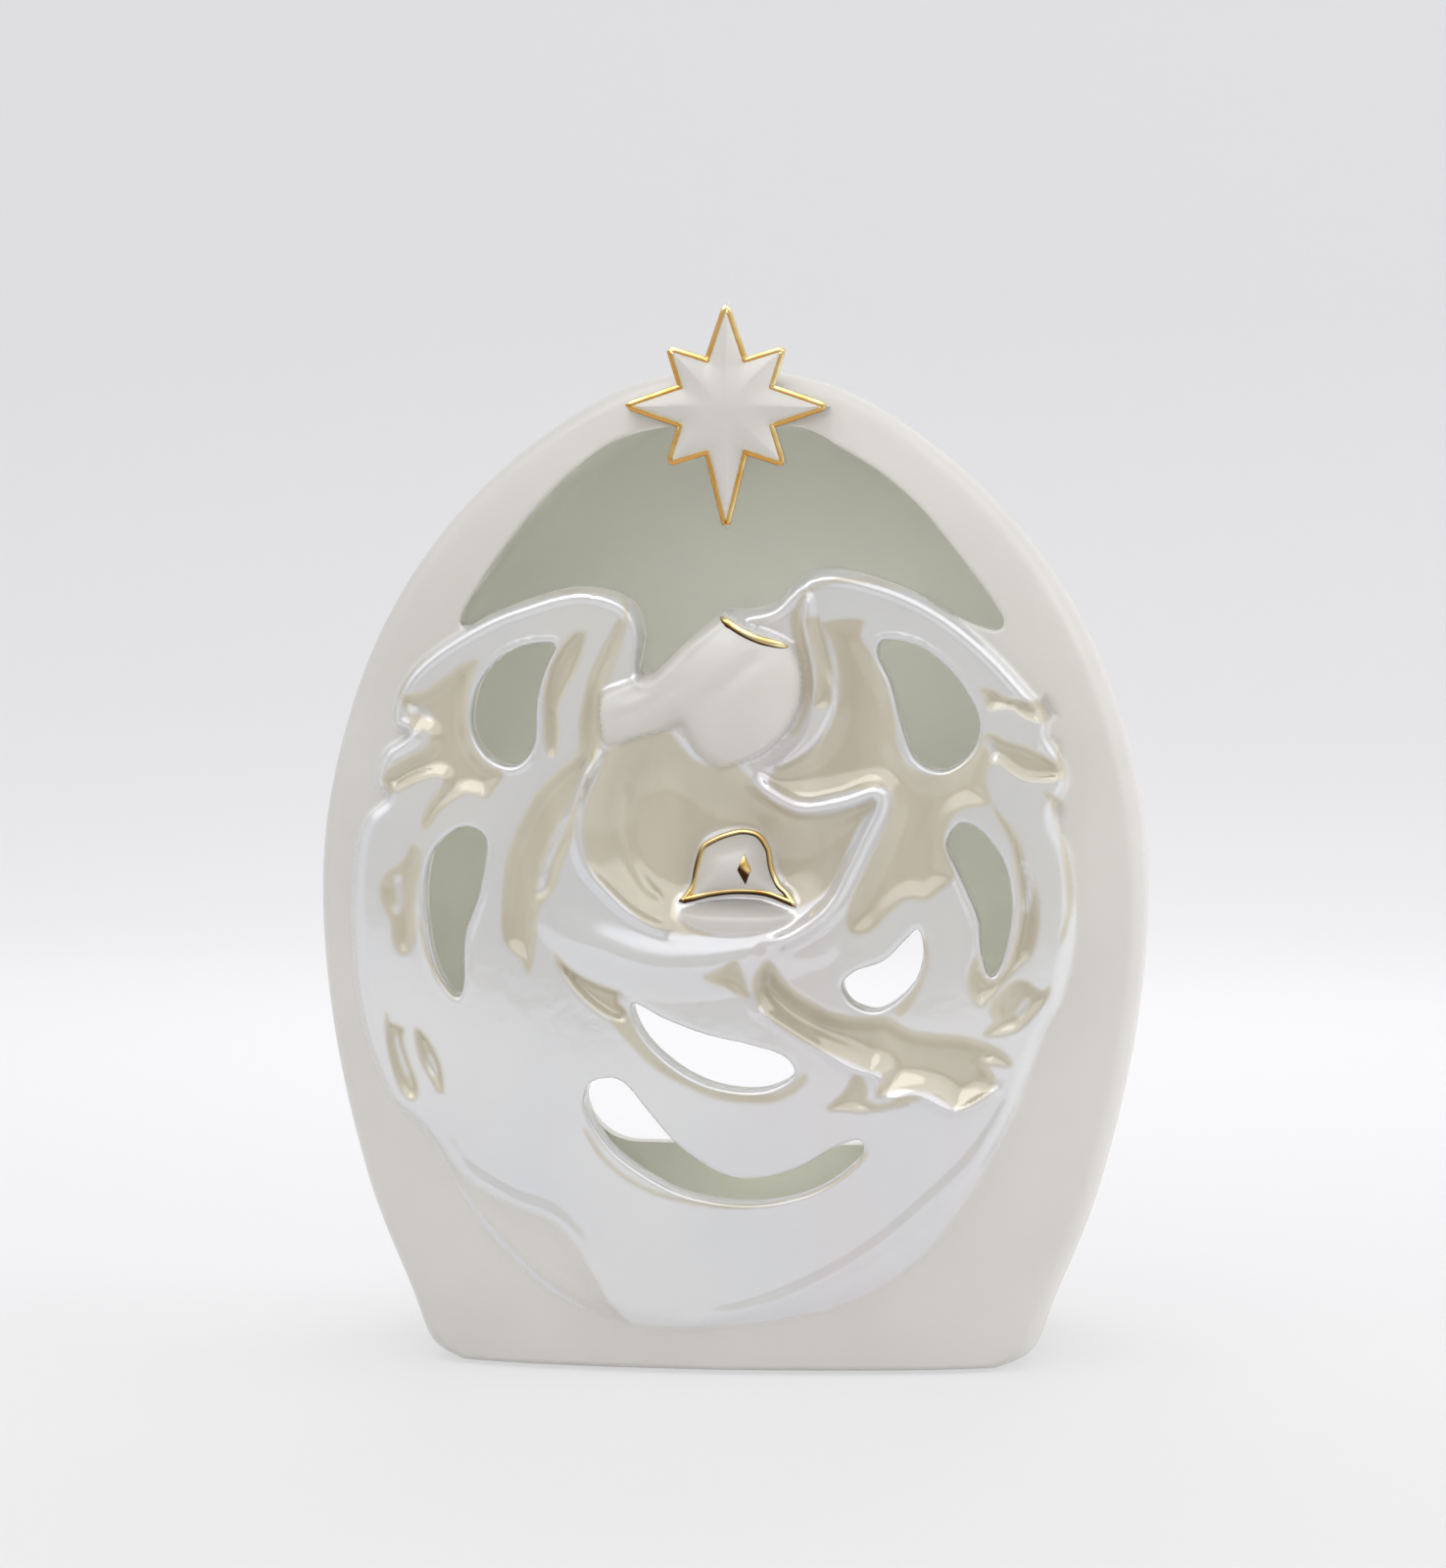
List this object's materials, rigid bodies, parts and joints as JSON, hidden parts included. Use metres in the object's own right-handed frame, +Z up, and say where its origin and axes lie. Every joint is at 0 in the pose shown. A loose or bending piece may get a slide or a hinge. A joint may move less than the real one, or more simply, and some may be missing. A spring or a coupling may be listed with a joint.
{
  "type": "angel candle holder",
  "caption": "Egg-shaped porcelain holder for a tealight, open at the back, with a pierced relief front of an angel below an arch and a star on top.",
  "frame": {"origin": "middle of the flat foot, on the surface it stands on, halfway between the shell's front and back edges", "axes": "+Z up, -Y towards the relief front, +Y towards the open back, +X to the viewer's right when looking at the front"},
  "size_m": [0.1334, 0.0853, 0.1715],
  "materials": {
    "porcelain": "white porcelain, satin on the frame, pearl lustre on the angel, thin gold lines"
  },
  "bodies": {
    "root": {"holder": "porcelain"}
  },
  "joints": []
}
